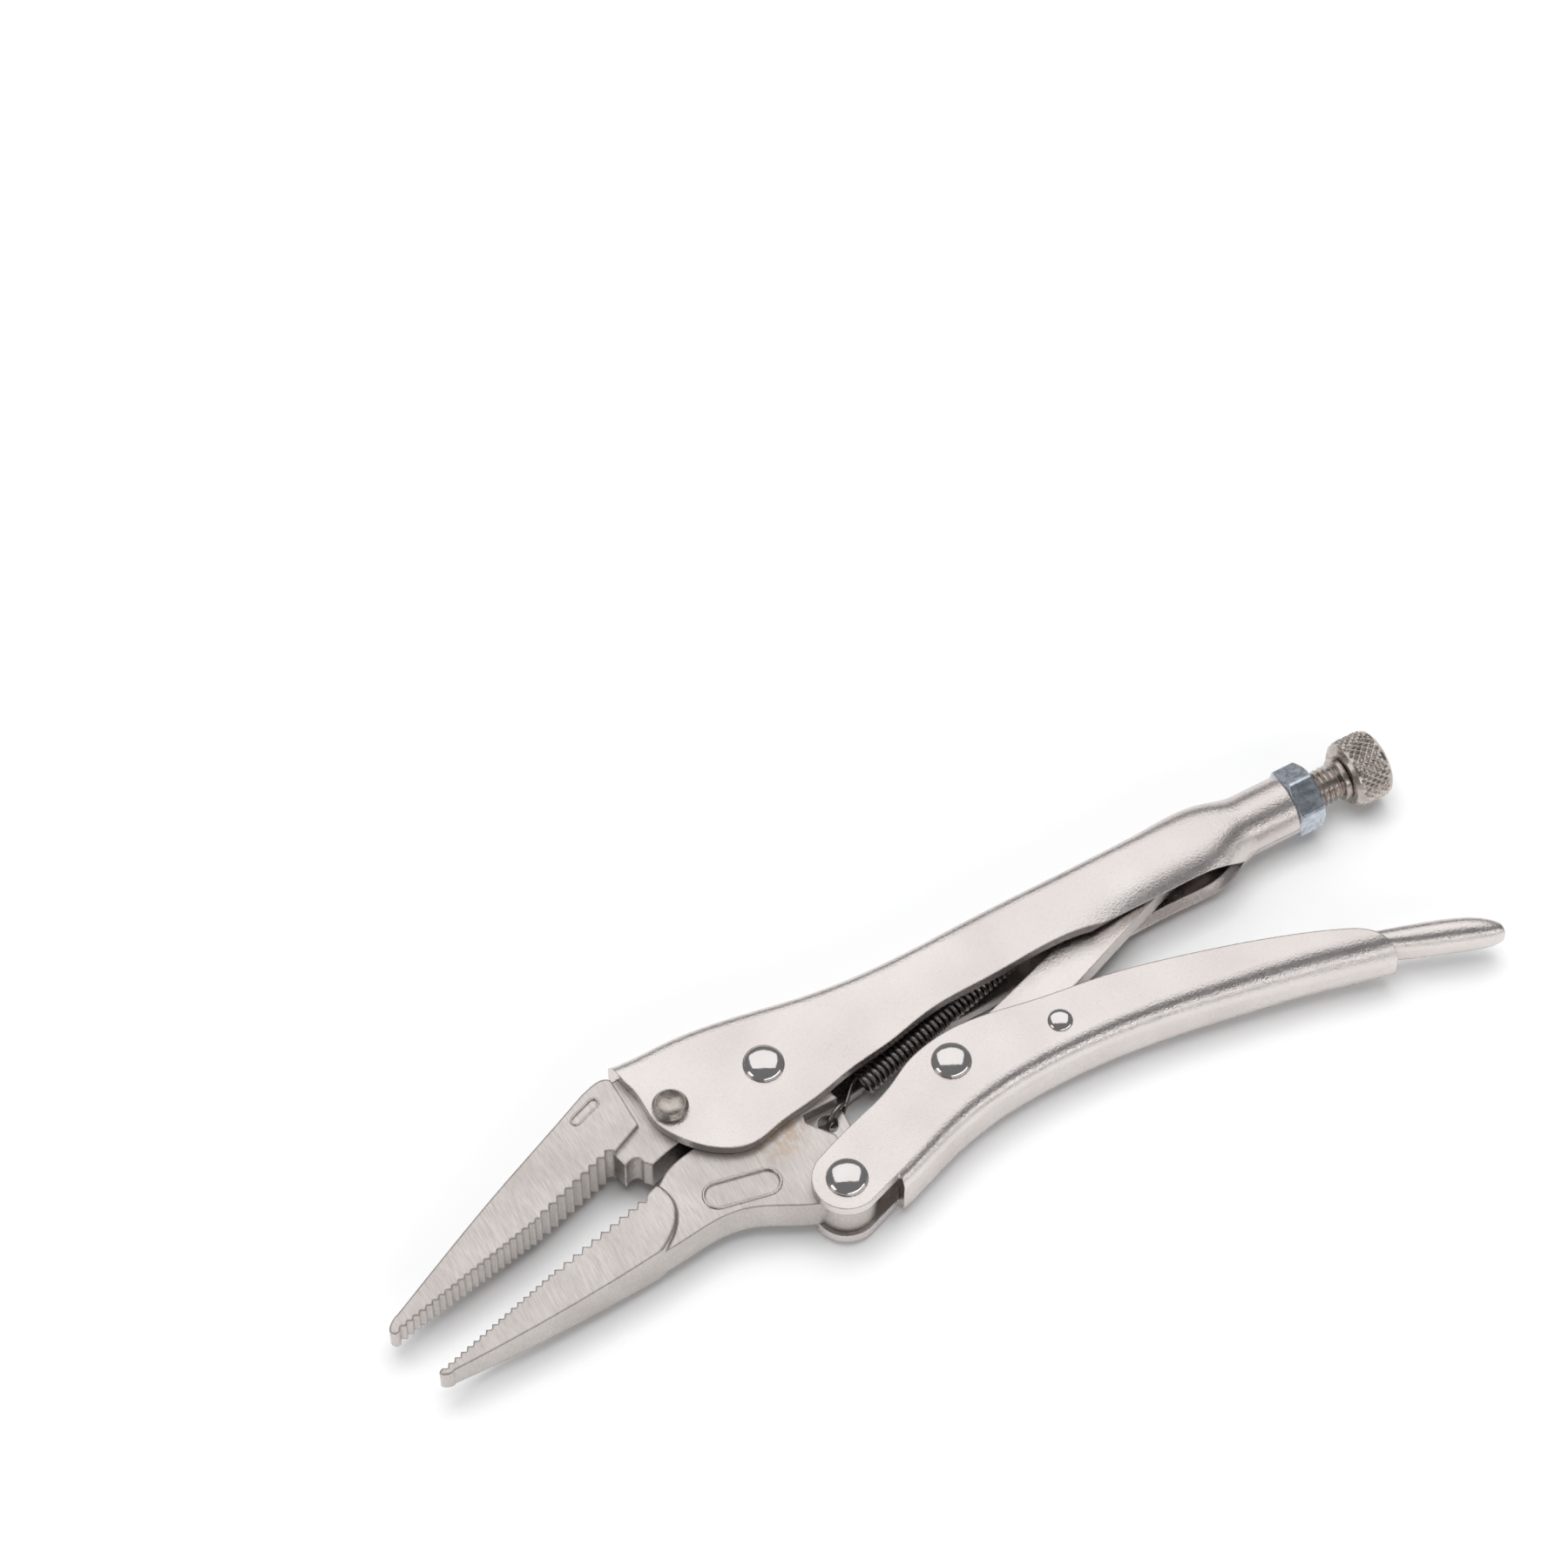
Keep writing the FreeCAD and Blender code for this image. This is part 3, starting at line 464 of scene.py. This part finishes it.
def coil_spring(material):
    """Close-wound wire from a ring in the jaw's tab to a hook in the fixed handle."""
    origin = mid_pivot()
    start = origin + Vector((16.4, -10.8, 0)) * MM
    eye = origin + Vector((6.0, -15.7, 0)) * MM
    tilt = math.radians(15)
    along = Vector((math.cos(tilt), math.sin(tilt), 0))
    across = Vector((-math.sin(tilt), math.cos(tilt), 0))
    upward = Vector((0, 0, 1))
    wire = 0.5 * MM  # radius of the wire
    mean = 2.15 * MM  # radius of the coil
    ring = 3.0 * MM  # radius of the ring in the jaw's tab
    coil_long = 46.0 * MM
    turns = 33
    per_turn = 18
    ring_steps = 36
    path = []

    towards = (start - eye).normalized()
    centre = eye + towards * ring
    for i in range(ring_steps + 1):
        angle = math.radians(20 + 340 * i / ring_steps)
        path.append(centre + ring * (towards * math.cos(angle) + upward * math.sin(angle)))

    ring_end = path[-1]
    coil_start = start + across * mean - along * 0.3 * MM
    for i in range(1, 6):
        path.append(ring_end.lerp(coil_start, i / 6))

    for i in range(turns * per_turn + 1):
        share = i / (turns * per_turn)
        angle = 2 * math.pi * i / per_turn
        path.append(start + along * (0.5 * MM + (coil_long - MM) * share)
                    + mean * (across * math.cos(angle) + upward * math.sin(angle)))

    _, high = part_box("tension_spring")
    hook_x = high[0] - wire
    hook_y = origin.y + 2.9 * MM
    last = path[-1]
    for target in (
        Vector((hook_x - 5.4 * MM, hook_y, origin.z)),
        Vector((hook_x - 0.6 * MM, hook_y, origin.z)),
        Vector((hook_x, hook_y + 0.6 * MM, origin.z)),
        Vector((hook_x, hook_y + 1.9 * MM, origin.z)),
    ):
        for i in range(1, 5):
            path.append(last.lerp(target, i / 4))
        last = target

    bm = tube(path, wire)
    piece = add_piece("spring_coil", bm, material, None, ["tension_spring"], 60)
    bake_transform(piece)


def badge_rim(name, material, body, centre, long, wide, tilt, height, thick):
    """A raised bead round a stamped panel with round ends, sunk half way into the surface.

    Sizes are in mm. The centre and the height are measured from the main pivot, the tilt in degrees.
    """
    middle = mid_pivot() + Vector((*centre, height)) * MM
    turn = Matrix.Rotation(math.radians(tilt), 3, "Z")
    reach = (long - wide) / 2
    path = []
    for side, first in ((1, -90), (-1, 90)):
        for degrees in range(first, first + 181, 15):
            angle = math.radians(degrees)
            flat = Vector((side * reach + wide / 2 * math.cos(angle), wide / 2 * math.sin(angle), 0))
            path.append(middle + turn @ flat * MM)
    bm = ring_tube(path, thick * MM)
    add_piece(name, bm, material, body, [], 60)


# ---------------------------------------------------------------- finish of the CAD nodes


def dress(name, material):
    """Gives a CAD node its material."""
    piece = nodes[name]
    piece.data.materials.clear()
    piece.data.materials.append(material)


# ---------------------------------------------------------------- floor, light and camera


def make_floor():
    """A floor far wider than the view, for the renders alone."""
    bm = bmesh.new()
    bmesh.ops.create_grid(bm, x_segments=1, y_segments=1, size=3.0)
    mesh = bpy.data.meshes.new("floor")
    bm.to_mesh(mesh)
    bm.free()
    floor = bpy.data.objects.new("floor", mesh)
    bpy.context.scene.collection.objects.link(floor)
    mesh.materials.append(pale_floor())


def area_light(name, place, target, wide, deep, radiance, reflected=True):
    """A softbox aimed at a point. Its power follows its size, so that it is equally bright at any size."""
    data = bpy.data.lights.new(name, "AREA")
    data.shape = "RECTANGLE"
    data.size = wide
    data.size_y = deep
    data.energy = radiance * math.pi * wide * deep
    lamp = bpy.data.objects.new(name, data)
    lamp.location = place
    lamp.rotation_euler = (Vector(target) - Vector(place)).to_track_quat("-Z", "Y").to_euler()
    lamp.visible_glossy = reflected
    bpy.context.scene.collection.objects.link(lamp)


def make_light():
    """Softboxes behind and above the tool, at its left and at its front.

    Two more lamps are left out of reflections, so that they light the floor and not the metal.
    """
    world = bpy.data.worlds.new("studio")
    world.use_nodes = True
    sky = world.node_tree.nodes["Background"]
    sky.inputs["Color"].default_value = (0.95, 0.97, 1.0, 1)
    sky.inputs["Strength"].default_value = 0.22
    bpy.context.scene.world = world
    middle = (0, 0, 0)
    area_light("overhead", (0.25, 0.55, 0.95), (0.0, 0.05, 0), wide=1.6, deep=1.2, radiance=1.0)
    area_light("left_strip", (-1.1, 0.1, 0.5), middle, wide=0.5, deep=0.5, radiance=1.6)
    area_light("front_strip", (0.25, -0.95, 0.44), middle, wide=1.8, deep=0.26, radiance=1.9)
    area_light("front_fill", (-0.3, -1.1, 0.7), middle, wide=0.9, deep=0.6, radiance=2.2, reflected=False)
    area_light("floor_wash", (0, 0.1, 1.6), middle, wide=1.2, deep=1.2, radiance=4.4, reflected=False)


def make_camera():
    """A long lens, high up in front of the tool, held level, at the place found for the photograph."""
    right = Vector((0.8704, -0.4924, 0))
    up = Vector((0.4153, 0.7341, 0.5374))
    back = right.cross(up)
    data = bpy.data.cameras.new("camera")
    data.lens = 129.0
    data.sensor_width = 36.0
    data.clip_end = 20
    camera = bpy.data.objects.new("camera", data)
    place = mid_pivot() + Vector((-0.2718, -0.4888, 0.9893))
    camera.matrix_world = Matrix((
        (right.x, up.x, back.x, place.x),
        (right.y, up.y, back.y, place.y),
        (right.z, up.z, back.z, place.z),
        (0, 0, 0, 1),
    ))
    bpy.context.scene.collection.objects.link(camera)
    bpy.context.scene.camera = camera


# ---------------------------------------------------------------- the scene

nickel = satin_nickel()
ground = ground_nickel()
polished = polished_nickel()
zinc = bright_zinc()
dull = thread_nickel()
wire_steel = oiled_wire()

for name in ("fixed_handle", "lower_handle", "release_lever", "toggle_link"):
    dress(name, nickel)
for name in ("fixed_jaw", "movable_jaw"):
    dress(name, ground)
for name in ("jaw_pivot_rivet", "handle_pivot_rivet", "link_rivet", "release_lever_rivet"):
    dress(name, polished)
dress("fixed_jaw_pin", dull)
threaded_screw(dull)
knurled_knob(dull)
chamfered_nut(zinc)
coil_spring(wire_steel)
badge_rim(
    "jaw_badge_rim", nickel, "jaw",
    centre=(-16.9, -21.4), long=16.0, wide=5.9, tilt=-12, height=4.32, thick=0.32,
)
badge_rim(
    "fixed_jaw_badge_rim", nickel, "fixed_frame",
    centre=(-36.2, 8.7), long=7.3, wide=2.1, tilt=20, height=5.58, thick=0.24,
)
make_floor()
make_light()
make_camera()
bpy.context.scene.view_settings.view_transform = "Standard"
